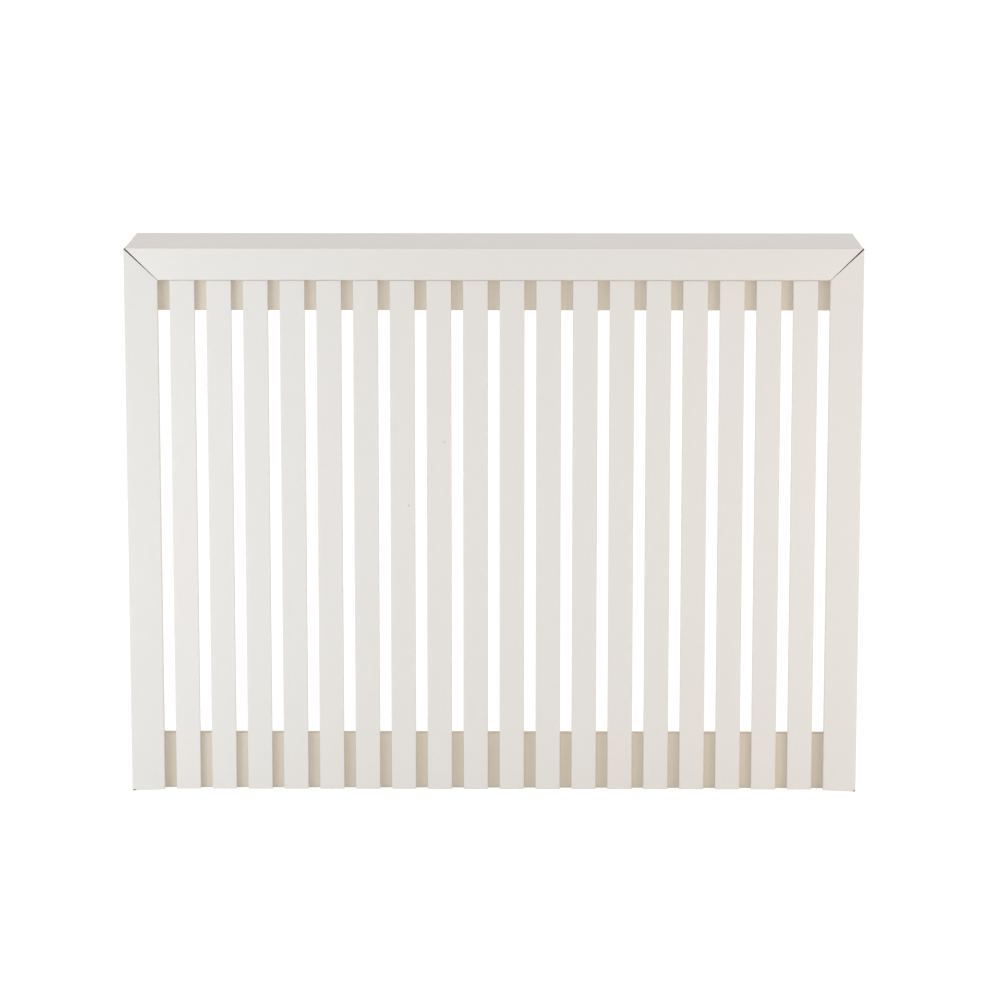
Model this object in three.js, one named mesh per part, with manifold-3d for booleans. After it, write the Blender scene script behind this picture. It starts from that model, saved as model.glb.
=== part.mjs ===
// Radiator cover cabinet: a painted, open-backed cabinet that stands over a radiator against a wall.
// Its front is a mitred frame round a row of upright slats, which two rails carry from behind.
//
// Millimetres, +Z up. The front faces -Y, the wall is at +Y, and the origin is on the floor under the
// middle of the cabinet.

import * as THREE from 'three';
import { mergeVertices } from 'three/addons/utils/BufferGeometryUtils.js';
import Module from 'manifold-3d';

// ---------------------------------------------------------------- driving dimensions

// The whole cabinet
const WIDTH = 1126;
const DEPTH = 200;
const HEIGHT = 850;

// Top and side boards
const BOARD_THICKNESS = 16;
const FRAME_LIP = 1.5; // how far the frame stands past the side boards' outer faces

// Front frame: a fascia and two stiles of one moulding, whose face slopes back towards the slats
const FRAME_WIDTH = 50;
const FRAME_OUTER_THICKNESS = 22;
const FRAME_INNER_THICKNESS = 14;
const MITRE_GAP_OUTER = 2.3; // each mitre has opened up towards the outer corner
const MITRE_GAP_INNER = 0.5;

// Slats, spread evenly between the stiles
const SLAT_COUNT = 18;
const SLAT_WIDTH = 38;
const SLAT_THICKNESS = 9;
const SLAT_TOP_GAP = 0.8; // shadow line between the slats and the fascia

// Rails behind the slats
const RAIL_THICKNESS = 12;
const LOWER_RAIL_HEIGHT = 88;
const UPPER_RAIL_DROP = 48; // how much of the upper rail shows below the fascia

// Loose tongue in each mitre
const TONGUE_THICKNESS = 4;
const TONGUE_WIDTH = 16;
const TONGUE_MARGIN = 4; // from the frame's edges to the tongue's nearest corners

// Dowels between the frame and the boards
const DOWEL_RADIUS = 4;
const DOWEL_LENGTH = 24;
const DOWEL_CHAMFER = 1;
const FASCIA_DOWEL_COUNT = 4;
const FASCIA_DOWEL_END = 110; // from the cabinet's side to the first dowel
const STILE_DOWEL_COUNT = 3;
const STILE_DOWEL_END = 120; // from the floor, and from the top, to the nearest dowel

// Square timber battens and blocks in the inner corners
const BATTEN_SECTION = 18;
const BATTEN_END_GAP = 6; // left clear at each end of a batten or block

// Wood screws through the battens and blocks
const SCREW_RADIUS = 2;
const SCREW_HEAD_RADIUS = 4;
const SCREW_HEAD_HEIGHT = 2.5;
const SCREW_TIP = 4;
const SCREW_BITE = 10; // how deep a screw goes into the board past its batten
const BATTEN_SCREW_END = 30; // from a top batten's ends to its screws

// Steel angles under the top board, at the wall
const BRACKET_LEG = 40;
const BRACKET_WIDTH = 20;
const BRACKET_THICKNESS = 2;
const BRACKET_BEND = 2; // inner radius of the bend
const BRACKET_INSET = 180; // from the cabinet's side to the angle's middle
const BRACKET_HOLE_END = 8; // from a leg's end to its first hole
const BRACKET_HOLE_PITCH = 13;
const BRACKET_WALL_HOLE_RADIUS = 2.5;
const PAN_HEAD_HEIGHT = 2;
const PAN_SCREW_BITE = 9; // how deep an angle's screw goes into the top board

// Making
const ARRIS = 1; // eased edges
const GLUE_LINE = 0.3; // between two faces that meet
const FIT = 0.2; // round a dowel, tongue or screw in its hole
const ROUND_SIDES = 12;
const BEND_STEPS = 4;
const WELD = 1e-4; // vertices nearer than this are one

// ---------------------------------------------------------------- planes and places worked out from them

const HALF_WIDTH = WIDTH / 2;
const FRONT = -DEPTH / 2;
const BACK = DEPTH / 2;
const FRAME_BACK = FRONT + FRAME_OUTER_THICKNESS;
const FRAME_INNER_FRONT = FRAME_BACK - FRAME_INNER_THICKNESS;
const BOARD_FRONT = FRAME_BACK + GLUE_LINE;
const BOARD_HALF_WIDTH = HALF_WIDTH - FRAME_LIP;
const SIDE_INNER = BOARD_HALF_WIDTH - BOARD_THICKNESS;
const TOP_UNDERSIDE = HEIGHT - BOARD_THICKNESS;
const FASCIA_BOTTOM = HEIGHT - FRAME_WIDTH;
const RAIL_FRONT = FRAME_BACK + GLUE_LINE;
const RAIL_BACK = RAIL_FRONT + RAIL_THICKNESS;
const UPPER_RAIL_BOTTOM = FASCIA_BOTTOM - UPPER_RAIL_DROP;
const UPPER_RAIL_TOP = TOP_UNDERSIDE - GLUE_LINE;
const BATTEN_OUTER = SIDE_INNER - GLUE_LINE;
const BATTEN_INNER = BATTEN_OUTER - BATTEN_SECTION;
const BRACKET_TOP = TOP_UNDERSIDE - GLUE_LINE;
const BRACKET_MIDDLE = HALF_WIDTH - BRACKET_INSET;

const PLUS_X = new THREE.Vector3(1, 0, 0);
const PLUS_Y = new THREE.Vector3(0, 1, 0);
const PLUS_Z = new THREE.Vector3(0, 0, 1);
const SIDES = [['left', -1], ['right', 1]];

// ---------------------------------------------------------------- materials

const finish = (color, roughness, metalness = 0) => () => (
  new THREE.MeshStandardMaterial({ color, roughness, metalness })
);
const satinPaint = finish(0xe5e2dd, 0.45);
const railPaint = finish(0xd3c8b7, 0.5);
const pine = finish(0xcfa873, 0.7);
const beech = finish(0xd9b48a, 0.65);
const birchPly = finish(0xd8bd92, 0.7);
const zincSteel = finish(0xb9bcc0, 0.35, 0.9);

// ---------------------------------------------------------------- solids

const wasm = await Module();
wasm.setup();

/** The solid of a mesh, where it stands. */
function solidOf(mesh) {
  mesh.updateMatrix();
  const { geometry } = mesh;
  const bare = geometry.index ? geometry.toNonIndexed() : geometry.clone();
  bare.applyMatrix4(mesh.matrix);
  bare.deleteAttribute('normal');
  bare.deleteAttribute('uv');
  const welded = mergeVertices(bare, WELD);
  return new wasm.Manifold(new wasm.Mesh({
    numProp: 3,
    vertProperties: welded.attributes.position.array,
    triVerts: new Uint32Array(welded.index.array),
  }));
}

/** Cuts each tool out of a mesh, which stays where it stands. */
function cut(mesh, tools) {
  const solid = tools.reduce((left, tool) => left.subtract(solidOf(tool)), solidOf(mesh));
  const { vertProperties, triVerts } = solid.getMesh();
  const geometry = new THREE.BufferGeometry();
  geometry.setAttribute('position', new THREE.BufferAttribute(new Float32Array(vertProperties), 3));
  geometry.setIndex(new THREE.BufferAttribute(new Uint32Array(triVerts), 1));
  geometry.applyMatrix4(mesh.matrix.clone().invert());
  mesh.geometry = geometry.toNonIndexed();
  mesh.geometry.computeVertexNormals();
  return mesh;
}

/** Count places spread evenly from one value to another. */
function spread(from, to, count) {
  return Array.from({ length: count }, (_, i) => THREE.MathUtils.lerp(from, to, i / (count - 1)));
}

/** A board or batten with eased edges that fills the box between two corners. */
function board(name, material, low, high) {
  const size = high.clone().sub(low);
  const x = size.x / 2;
  const y = size.y / 2;
  const outline = new THREE.Shape()
    .moveTo(x - ARRIS, -y).lineTo(x, ARRIS - y)
    .lineTo(x, y - ARRIS).lineTo(x - ARRIS, y)
    .lineTo(ARRIS - x, y).lineTo(-x, y - ARRIS)
    .lineTo(-x, ARRIS - y).lineTo(ARRIS - x, -y);
  const geometry = new THREE.ExtrudeGeometry(outline, {
    depth: size.z - 2 * ARRIS,
    bevelThickness: ARRIS,
    bevelSize: ARRIS,
    bevelOffset: -ARRIS,
    bevelSegments: 1,
  });
  geometry.translate(0, 0, ARRIS - size.z / 2);
  const mesh = new THREE.Mesh(geometry, material());
  mesh.name = name;
  mesh.position.copy(low).add(high).divideScalar(2);
  return mesh;
}

/** Turns a mesh that points along +Y to another direction, and moves it. */
function aim(mesh, at, direction) {
  mesh.position.copy(at);
  mesh.quaternion.setFromUnitVectors(PLUS_Y, direction);
  return mesh;
}

/** A round piece turned from its profile, a list of radius and distance along +Y. */
function turned(name, material, profile) {
  const points = profile.map(([radius, y]) => new THREE.Vector2(radius, y));
  const mesh = new THREE.Mesh(new THREE.LatheGeometry(points, ROUND_SIDES), material());
  mesh.name = name;
  return mesh;
}

/** A round dowel, middle at the origin. Its hole is the same with a margin all round. */
function dowel(name, margin = 0) {
  const radius = DOWEL_RADIUS + margin;
  const half = DOWEL_LENGTH / 2 + margin;
  return turned(name, beech, [
    [0, -half], [radius - DOWEL_CHAMFER, -half], [radius, DOWEL_CHAMFER - half],
    [radius, half - DOWEL_CHAMFER], [radius - DOWEL_CHAMFER, half], [0, half],
  ]);
}

/** A countersunk wood screw, its head's face at the origin. */
function woodScrew(name, margin = 0) {
  const length = BATTEN_SECTION + GLUE_LINE + SCREW_BITE;
  return turned(name, zincSteel, [
    [0, -margin], [SCREW_HEAD_RADIUS + margin, -margin], [SCREW_RADIUS + margin, SCREW_HEAD_HEIGHT],
    [SCREW_RADIUS + margin, length - SCREW_TIP], [0, length + margin],
  ]);
}

/** A pan-head screw for a steel angle, the underside of its head at the origin. */
function panScrew(name, margin = 0) {
  const length = GLUE_LINE + BRACKET_THICKNESS + GLUE_LINE + PAN_SCREW_BITE;
  return turned(name, zincSteel, [
    [0, -PAN_HEAD_HEIGHT], [SCREW_HEAD_RADIUS / 2, -PAN_HEAD_HEIGHT],
    [SCREW_HEAD_RADIUS, -PAN_HEAD_HEIGHT / 2], [SCREW_HEAD_RADIUS, 0],
    [SCREW_RADIUS + margin, 0], [SCREW_RADIUS + margin, length - SCREW_TIP], [0, length + margin],
  ]);
}

// ---------------------------------------------------------------- front frame

/** The moulding's section: x runs in from the frame's outer edge, y from front to back. */
function frameSection() {
  return new THREE.Shape()
    .moveTo(0, FRAME_BACK)
    .lineTo(0, FRONT + ARRIS)
    .lineTo(ARRIS, FRONT)
    .lineTo(FRAME_WIDTH - ARRIS, FRAME_INNER_FRONT)
    .lineTo(FRAME_WIDTH, FRAME_INNER_FRONT + ARRIS)
    .lineTo(FRAME_WIDTH, FRAME_BACK);
}

/** How far back from the frame's corner a mitred end lies, at a distance in from the outer edge. */
function mitreSetBack(inset) {
  const gap = THREE.MathUtils.lerp(MITRE_GAP_OUTER, MITRE_GAP_INNER, inset / FRAME_WIDTH);
  return inset + (gap / 2) * Math.SQRT2;
}

/** A length of the moulding along +Z from the origin. Each end is mitred or square. */
function frameMember(name, length, { startMitred, endMitred }) {
  const geometry = new THREE.ExtrudeGeometry(frameSection(), { depth: length, bevelEnabled: false });
  const points = geometry.attributes.position;
  for (let i = 0; i < points.count; i += 1) {
    const setBack = mitreSetBack(points.getX(i));
    const atStart = points.getZ(i) < length / 2;
    if (atStart && startMitred) points.setZ(i, setBack);
    if (!atStart && endMitred) points.setZ(i, length - setBack);
  }
  geometry.computeVertexNormals();
  const mesh = new THREE.Mesh(geometry, satinPaint());
  mesh.name = name;
  return mesh;
}

/** A mitre's loose tongue, which lies along the mitre on one side of the cabinet. */
function mitreTongue(name, hand, margin = 0) {
  const length = (FRAME_WIDTH - 2 * TONGUE_MARGIN) * Math.SQRT2 - TONGUE_WIDTH;
  const geometry = new THREE.BoxGeometry(
    length + 2 * margin,
    TONGUE_THICKNESS + 2 * margin,
    TONGUE_WIDTH + 2 * margin,
  );
  const mesh = new THREE.Mesh(geometry, birchPly());
  mesh.name = name;
  mesh.position.set(
    hand * (HALF_WIDTH - FRAME_WIDTH / 2),
    (FRAME_INNER_FRONT + FRAME_BACK) / 2,
    HEIGHT - FRAME_WIDTH / 2,
  );
  mesh.rotation.y = (-hand * Math.PI) / 4;
  return mesh;
}

/** Where the fascia's dowels cross into the top board. */
function fasciaDowelPlaces() {
  const end = HALF_WIDTH - FASCIA_DOWEL_END;
  return spread(-end, end, FASCIA_DOWEL_COUNT)
    .map((x) => new THREE.Vector3(x, FRAME_BACK, HEIGHT - BOARD_THICKNESS / 2));
}

/** Where one stile's dowels cross into its side board. */
function stileDowelPlaces(hand) {
  return spread(STILE_DOWEL_END, HEIGHT - STILE_DOWEL_END, STILE_DOWEL_COUNT)
    .map((z) => new THREE.Vector3(hand * (BOARD_HALF_WIDTH - BOARD_THICKNESS / 2), FRAME_BACK, z));
}

const dowelHole = (at) => aim(dowel('', FIT), at, PLUS_Y);

/** The three lengths of moulding run up one side, across the top and down the other. */
function frontFrame() {
  const group = new THREE.Group();

  const stileLeft = frameMember('stile_left', HEIGHT, { startMitred: false, endMitred: true });
  stileLeft.position.set(-HALF_WIDTH, 0, 0);

  const fascia = frameMember('fascia', WIDTH, { startMitred: true, endMitred: true });
  fascia.position.set(-HALF_WIDTH, 0, HEIGHT);
  fascia.rotation.y = Math.PI / 2;

  const stileRight = frameMember('stile_right', HEIGHT, { startMitred: true, endMitred: false });
  stileRight.position.set(HALF_WIDTH, 0, HEIGHT);
  stileRight.rotation.y = Math.PI;

  const grooves = SIDES.map(([, hand]) => mitreTongue('', hand, FIT));
  cut(fascia, [...grooves, ...fasciaDowelPlaces().map(dowelHole)]);
  cut(stileLeft, [grooves[0], ...stileDowelPlaces(-1).map(dowelHole)]);
  cut(stileRight, [grooves[1], ...stileDowelPlaces(1).map(dowelHole)]);
  group.add(fascia, stileLeft, stileRight);

  for (const [side, hand] of SIDES) group.add(mitreTongue(`mitre_tongue_${side}`, hand));
  return group;
}

function dowels() {
  const group = new THREE.Group();
  fasciaDowelPlaces().forEach((at, i) => group.add(aim(dowel(`fascia_dowel_${i + 1}`), at, PLUS_Y)));
  for (const [side, hand] of SIDES) {
    stileDowelPlaces(hand).forEach((at, i) => (
      group.add(aim(dowel(`stile_dowel_${side}_${i + 1}`), at, PLUS_Y))
    ));
  }
  return group;
}

// ---------------------------------------------------------------- slats and rails

function grille() {
  const group = new THREE.Group();
  const opening = WIDTH - 2 * FRAME_WIDTH;
  const gap = (opening - SLAT_COUNT * SLAT_WIDTH) / (SLAT_COUNT + 1);
  for (let i = 0; i < SLAT_COUNT; i += 1) {
    const left = -opening / 2 + gap + i * (SLAT_WIDTH + gap);
    group.add(board(
      `slat_${String(i + 1).padStart(2, '0')}`,
      satinPaint,
      new THREE.Vector3(left, FRAME_BACK - SLAT_THICKNESS, 0),
      new THREE.Vector3(left + SLAT_WIDTH, FRAME_BACK, FASCIA_BOTTOM - SLAT_TOP_GAP),
    ));
  }
  const end = SIDE_INNER - GLUE_LINE;
  group.add(board(
    'lower_rail',
    railPaint,
    new THREE.Vector3(-end, RAIL_FRONT, 0),
    new THREE.Vector3(end, RAIL_BACK, LOWER_RAIL_HEIGHT),
  ));
  group.add(board(
    'upper_rail',
    railPaint,
    new THREE.Vector3(-end, RAIL_FRONT, UPPER_RAIL_BOTTOM),
    new THREE.Vector3(end, RAIL_BACK, UPPER_RAIL_TOP),
  ));
  return group;
}

// ---------------------------------------------------------------- boards, battens and their screws

/** Each batten and block of one side: its name, its corners, and its screws' heads and directions. */
function blocksOf(side, hand) {
  const corner = (x, y, z) => new THREE.Vector3(hand * x, y, z);
  const outward = PLUS_X.clone().multiplyScalar(hand);
  const middle = (BATTEN_INNER + BATTEN_OUTER) / 2;
  const blockFront = RAIL_BACK + GLUE_LINE;
  const blockBack = blockFront + BATTEN_SECTION;
  const battenTop = TOP_UNDERSIDE - GLUE_LINE;
  const battenBottom = battenTop - BATTEN_SECTION;
  const battenStart = blockBack + BATTEN_END_GAP;
  const battenEnd = BACK - BATTEN_END_GAP;

  const railBlock = (name, railBottom, railTop) => ({
    name: `${name}_${side}`,
    near: corner(BATTEN_INNER, blockFront, railBottom + BATTEN_END_GAP),
    far: corner(BATTEN_OUTER, blockBack, railTop - BATTEN_END_GAP),
    screws: [{
      name: `${name}_screw_${side}`,
      at: corner(BATTEN_INNER, (blockFront + blockBack) / 2, (railBottom + railTop) / 2),
      direction: outward,
    }],
  });

  return [
    {
      name: `top_batten_${side}`,
      near: corner(BATTEN_INNER, battenStart, battenBottom),
      far: corner(BATTEN_OUTER, battenEnd, battenTop),
      screws: [
        {
          name: `top_batten_screw_up_${side}`,
          at: corner(middle, battenStart + BATTEN_SCREW_END, battenBottom),
          direction: PLUS_Z,
        },
        {
          name: `top_batten_screw_side_${side}`,
          at: corner(BATTEN_INNER, battenEnd - BATTEN_SCREW_END, (battenBottom + battenTop) / 2),
          direction: outward,
        },
      ],
    },
    railBlock('upper_rail_block', UPPER_RAIL_BOTTOM, UPPER_RAIL_TOP),
    railBlock('lower_rail_block', 0, LOWER_RAIL_HEIGHT),
  ];
}

const screwHole = ({ at, direction }) => aim(woodScrew('', FIT), at, direction);

/** A batten or block with its screws, and the holes that they pass through. */
function fixedBlock({ name, near, far, screws }) {
  const group = new THREE.Group();
  const timber = board(name, pine, near.clone().min(far), near.clone().max(far));
  group.add(cut(timber, screws.map(screwHole)));
  for (const screw of screws) group.add(aim(woodScrew(screw.name), screw.at, screw.direction));
  return group;
}

function carcass() {
  const group = new THREE.Group();
  const blocks = SIDES.map(([side, hand]) => blocksOf(side, hand));
  const screwHolesOf = (list) => list.flatMap(({ screws }) => screws.map(screwHole));

  const top = board(
    'top_panel',
    satinPaint,
    new THREE.Vector3(-BOARD_HALF_WIDTH, BOARD_FRONT, TOP_UNDERSIDE),
    new THREE.Vector3(BOARD_HALF_WIDTH, BACK, HEIGHT),
  );
  const bracketHoles = SIDES.flatMap(([, hand]) => bracketScrewPlaces(hand).map(panScrewHole));
  group.add(cut(top, [
    ...fasciaDowelPlaces().map(dowelHole),
    ...screwHolesOf(blocks.flat()),
    ...bracketHoles,
  ]));

  SIDES.forEach(([side, hand], i) => {
    const outer = hand * BOARD_HALF_WIDTH;
    const inner = hand * SIDE_INNER;
    const panel = board(
      `side_panel_${side}`,
      satinPaint,
      new THREE.Vector3(Math.min(outer, inner), BOARD_FRONT, 0),
      new THREE.Vector3(Math.max(outer, inner), BACK, TOP_UNDERSIDE - GLUE_LINE),
    );
    group.add(cut(panel, [...stileDowelPlaces(hand).map(dowelHole), ...screwHolesOf(blocks[i])]));
    for (const block of blocks[i]) group.add(fixedBlock(block));
  });
  return group;
}

// ---------------------------------------------------------------- wall brackets

/** Distances in from an angle's leg end to its two holes. */
const bracketHoleEnds = [BRACKET_HOLE_END, BRACKET_HOLE_END + BRACKET_HOLE_PITCH];

/** Where one angle's screws enter it from below. */
function bracketScrewPlaces(hand) {
  const under = BRACKET_TOP - BRACKET_THICKNESS - GLUE_LINE;
  return bracketHoleEnds.map((end) => (
    new THREE.Vector3(hand * BRACKET_MIDDLE, BACK - BRACKET_LEG + end, under)
  ));
}

const panScrewHole = (at) => aim(panScrew('', FIT), at, PLUS_Z);

/** A steel angle: one leg under the top board, the other down the wall. */
function bracket(name, hand) {
  const bottom = BRACKET_TOP - BRACKET_LEG;
  const bendOuter = BRACKET_BEND + BRACKET_THICKNESS;
  const bendY = BACK - bendOuter;
  const bendZ = BRACKET_TOP - bendOuter;
  const section = new THREE.Shape()
    .moveTo(BACK - BRACKET_LEG, BRACKET_TOP)
    .lineTo(BACK - BRACKET_LEG, BRACKET_TOP - BRACKET_THICKNESS)
    .lineTo(bendY, BRACKET_TOP - BRACKET_THICKNESS)
    .absarc(bendY, bendZ, BRACKET_BEND, Math.PI / 2, 0, true)
    .lineTo(BACK - BRACKET_THICKNESS, bottom)
    .lineTo(BACK, bottom)
    .lineTo(BACK, bendZ)
    .absarc(bendY, bendZ, bendOuter, 0, Math.PI / 2, false);
  const geometry = new THREE.ExtrudeGeometry(section, {
    depth: BRACKET_WIDTH,
    curveSegments: BEND_STEPS,
    bevelEnabled: false,
  });
  // The section's x and y become the cabinet's Y and Z, and its length runs along X.
  geometry.applyMatrix4(new THREE.Matrix4().makeBasis(PLUS_Y, PLUS_Z, PLUS_X));
  const mesh = new THREE.Mesh(geometry, zincSteel());
  mesh.name = name;
  mesh.position.x = hand * BRACKET_MIDDLE - BRACKET_WIDTH / 2;

  const wallHoles = bracketHoleEnds.map((end) => {
    const drill = new THREE.CylinderGeometry(
      BRACKET_WALL_HOLE_RADIUS,
      BRACKET_WALL_HOLE_RADIUS,
      2 * BRACKET_LEG,
      ROUND_SIDES,
    );
    const at = new THREE.Vector3(hand * BRACKET_MIDDLE, BACK, bottom + end);
    return aim(new THREE.Mesh(drill), at, PLUS_Y);
  });
  return cut(mesh, [...wallHoles, ...bracketScrewPlaces(hand).map(panScrewHole)]);
}

function wallBrackets() {
  const group = new THREE.Group();
  for (const [side, hand] of SIDES) {
    group.add(bracket(`wall_bracket_${side}`, hand));
    bracketScrewPlaces(hand).forEach((at, i) => (
      group.add(aim(panScrew(`wall_bracket_screw_${side}_${i + 1}`), at, PLUS_Z))
    ));
  }
  return group;
}

// ---------------------------------------------------------------- the cabinet

const cabinet = new THREE.Group();
cabinet.name = 'radiator_cover_cabinet';
cabinet.add(carcass(), frontFrame(), grille(), dowels(), wallBrackets());

export default cabinet;
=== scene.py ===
"""The finished look of a radiator cover cabinet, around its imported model.

Laid out as a Blender add-on: each operator models or finishes one group of pieces at the size and place
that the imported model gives. Metres, +Z up, the slatted front towards -Y and the wall at +Y.
"""

import math
from collections import namedtuple

import bmesh
import bpy
from bpy.props import FloatProperty, FloatVectorProperty, PointerProperty
from mathutils import Matrix, Vector


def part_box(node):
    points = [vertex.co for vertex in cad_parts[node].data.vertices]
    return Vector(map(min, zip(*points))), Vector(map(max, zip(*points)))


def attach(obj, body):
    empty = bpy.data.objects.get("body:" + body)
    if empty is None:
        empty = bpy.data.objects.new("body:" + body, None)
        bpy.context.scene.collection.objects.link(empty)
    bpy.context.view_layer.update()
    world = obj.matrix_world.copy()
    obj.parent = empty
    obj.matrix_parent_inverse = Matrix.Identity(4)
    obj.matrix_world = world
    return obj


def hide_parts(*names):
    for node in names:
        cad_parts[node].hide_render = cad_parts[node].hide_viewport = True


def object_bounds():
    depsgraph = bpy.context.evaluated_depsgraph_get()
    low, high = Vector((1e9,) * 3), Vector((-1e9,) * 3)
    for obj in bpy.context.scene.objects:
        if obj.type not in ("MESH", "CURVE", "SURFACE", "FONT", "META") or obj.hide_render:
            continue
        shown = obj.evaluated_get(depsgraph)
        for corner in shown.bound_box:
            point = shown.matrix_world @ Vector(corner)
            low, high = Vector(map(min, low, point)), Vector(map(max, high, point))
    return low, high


bl_info = {
    "name": "Radiator Cover Cabinet",
    "version": (1, 0, 0),
    "blender": (4, 5, 0),
    "location": "3D View > Sidebar > Radiator Cover",
    "description": "Models and finishes a slatted radiator cover cabinet around its packed frame",
    "category": "Add Mesh",
}

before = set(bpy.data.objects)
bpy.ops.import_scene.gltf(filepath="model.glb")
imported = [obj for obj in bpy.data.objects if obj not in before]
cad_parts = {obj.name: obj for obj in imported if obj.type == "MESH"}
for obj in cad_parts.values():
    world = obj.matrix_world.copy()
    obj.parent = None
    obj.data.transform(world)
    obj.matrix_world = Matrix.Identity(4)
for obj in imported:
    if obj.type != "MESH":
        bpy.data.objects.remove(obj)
CAD_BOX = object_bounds()

BODY = "root"
SIDES = (("left", -1), ("right", 1))
SLATS = [f"{number:02d}" for number in range(1, 19)]

UP = Vector((0, 0, 1))
FORWARD = Vector((0, -1, 0))
BACKWARD = Vector((0, 1, 0))

ARRIS_STEPS = 3
ROUND_SIDES = 32
FINE_SIDES = 16
SMOOTH_ANGLE = math.radians(40)
NEAR = 1e-5  # two places closer than this are one
SAME_WAY = 0.999  # two faces whose normals' product is over this are parallel
MITRE_TILT = 0.5  # a sawn mitre's normal has more than this both across and up
FRONT_REACH = 1.1  # the moulding's front edges lie within this many slopes of its front
FLOOR_DROP = 0.0002  # keeps the floor from showing through the feet

# Chips at the stiles' feet
CHIP_DETAIL = 3
CHIP_SETBACK = 0.0005  # from the stile's front to the chip's middle
CHIP_SCATTER = 6  # the chip's height over its roughness
CHIP_SEED = 5

# Slat pins, along their axis from the underside of the rail's back
PIN_CROWN = 0.0003  # how far a pin's head stands proud, and how deep it sits
PIN_CHAMFER = 0.0001
PIN_NECK = 0.0006
PIN_POINT = 0.002  # length of its tapered point

# Screws
HEAD_RADIUS = 0.004
SHANK_RADIUS = 0.0019
CORE_RADIUS = 0.0016  # the threaded end, buried in wood
TIP_RADIUS = 0.0002
PAN_HEIGHT = 0.002
RECESS_TAPER = 0.55  # the driver's cross at its bottom, as a share of its width at the face

# Steel angles
STRIP = 0.002  # thickness of the steel
SCREW_HOLE = 0.0021  # radii of the holes
WALL_HOLE = 0.0025
DRILL_REACH = 0.006

# Nibs of dust: the slat, inset from its right edge, height, radius, and how strongly each shows
Nib = namedtuple("Nib", "slat inset height radius depth")
NIBS = (Nib("07", 0.0098, 0.450, 0.0023, 0.95), Nib("08", 0.011, 0.549, 0.0031, 0.5))

# Surface colours that the shader groups keep to themselves, and sizes that two paints share
CLOUD_TONE = (0.72, 0.69, 0.66, 1)
BLOOM_TONE = (0.42, 0.43, 0.45, 1)
WHITE = (1, 1, 1, 1)
SATIN_PEEL = 0.0028  # size of the satin paint's dimples
SATIN_GLOSS = 0.4
PINE_RINGS = 60
PINE_WAVES = 2.0


# ---------------- sizes and colours that a user would change

def display(code):
    """A display colour, 0xRRGGBB, as scene-linear red, green and blue."""
    channels = [(code >> shift & 255) / 255 for shift in (16, 8, 0)]
    return tuple(c / 12.92 if c <= 0.04045 else ((c + 0.055) / 1.055) ** 2.4 for c in channels)


def length(name, description, default):
    """A length in metres."""
    return FloatProperty(name=name, description=description, default=default, min=0, precision=5,
                         subtype="DISTANCE", unit="LENGTH")


def share(name, description, default):
    """A share from 0 to 1."""
    return FloatProperty(name=name, description=description, default=default, min=0, max=1, subtype="FACTOR")


def amount(name, description, default):
    """A plain number, such as a lamp's strength."""
    return FloatProperty(name=name, description=description, default=default, min=0)


def colour(name, description, code):
    """A surface or lamp colour."""
    return FloatVectorProperty(name=name, description=description, default=display(code), size=3,
                               min=0, max=1, subtype="COLOR")


class CoverSizes(bpy.types.PropertyGroup):
    """Sizes of the fine surface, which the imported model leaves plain."""

    board_arris: length("Board arris", "Radius of the boards' and slats' eased edges", 0.001)
    timber_arris: length("Timber arris", "Radius of the battens' eased edges", 0.0012)
    frame_slope: length("Frame slope", "How far the moulding's face falls back towards the slats", 0.008)
    mitre_gap: length("Mitre gap", "Opening of each mitre at its inner end", 0.0005)
    fit: length("Fit", "Clearance round a dowel, tongue, screw or pin in its hole", 0.0002)
    chip_length: length("Chip length", "Length of the chipped paint at the foot of each stile", 0.0054)
    chip_height: length("Chip height", "Height of the chipped paint at the foot of each stile", 0.0024)
    chip_inset_left: length(
        "Left chip inset", "From the left stile's outer edge to its chip's middle", 0.0036)
    chip_inset_right: length(
        "Right chip inset", "From the right stile's outer edge to its chip's middle", 0.0012)
    pin_radius: length("Pin radius", "Radius of the pins that hold the slats", 0.0007)
    pin_head_radius: length("Pin head radius", "Radius of the pins' flat heads", 0.0013)
    pin_length: length("Pin length", "From a pin's head to its point", 0.0185)
    recess_width: length("Recess width", "Across the cross cut in each screw's head", 0.0044)
    recess_slot: length("Recess slot", "Width of one arm of that cross", 0.0009)
    recess_depth: length("Recess depth", "Depth of that cross", 0.0015)
    angle_corner: length("Angle corner", "Radius of the steel angles' end corners", 0.003)
    angle_bend: length("Angle bend", "Inner radius of the steel angles' bend", 0.002)


class CoverColours(bpy.types.PropertyGroup):
    """Colours of the finishes."""

    paint: colour("Paint", "Satin paint on the boards, frame and slats", 0xE6E1DB)
    thin_paint: colour("Thin paint", "Where the satin paint pulls thin over an arris", 0xE4D6CB)
    # The two rail colours are warmer and darker than the slats' paint. This is partly the rails' own paint
    # and partly painted shade: the warm darkening of the recess behind the slats.
    rail_paint: colour("Rail paint", "Warmer undercoat on the two rails", 0xE2D6C4)
    rail_thin_paint_and_shade: colour("Thin rail paint", "Where the undercoat pulls thin over an arris", 0xCDBBA2)
    speck: colour("Speck", "Nibs of dust under the paint", 0xB9B2A8)
    fibreboard: colour("Fibreboard", "Raw board in the mitres, holes and chips", 0xB79A7E)
    fibreboard_dark: colour("Dark fibres", "Darker fibres of the raw board", 0x886650)
    pine: colour("Pine", "Pale wood of the battens and blocks", 0xE6CB9B)
    pine_ring: colour("Pine rings", "Late wood of the battens and blocks", 0xC99A60)
    beech: colour("Beech", "Pale wood of the dowels", 0xDDBA92)
    beech_ring: colour("Beech rings", "Late wood of the dowels", 0xC79C70)
    birch: colour("Birch", "Pale plies of the mitre tongues", 0xE0C79D)
    birch_ring: colour("Birch glue lines", "Dark glue between the plies", 0x9C7648)
    zinc: colour("Zinc", "Bright zinc plate on the angles", 0xC4C7CA)
    screw_zinc: colour("Screw zinc", "Zinc plate on the screws and pins", 0xBFBEB8)


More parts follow.
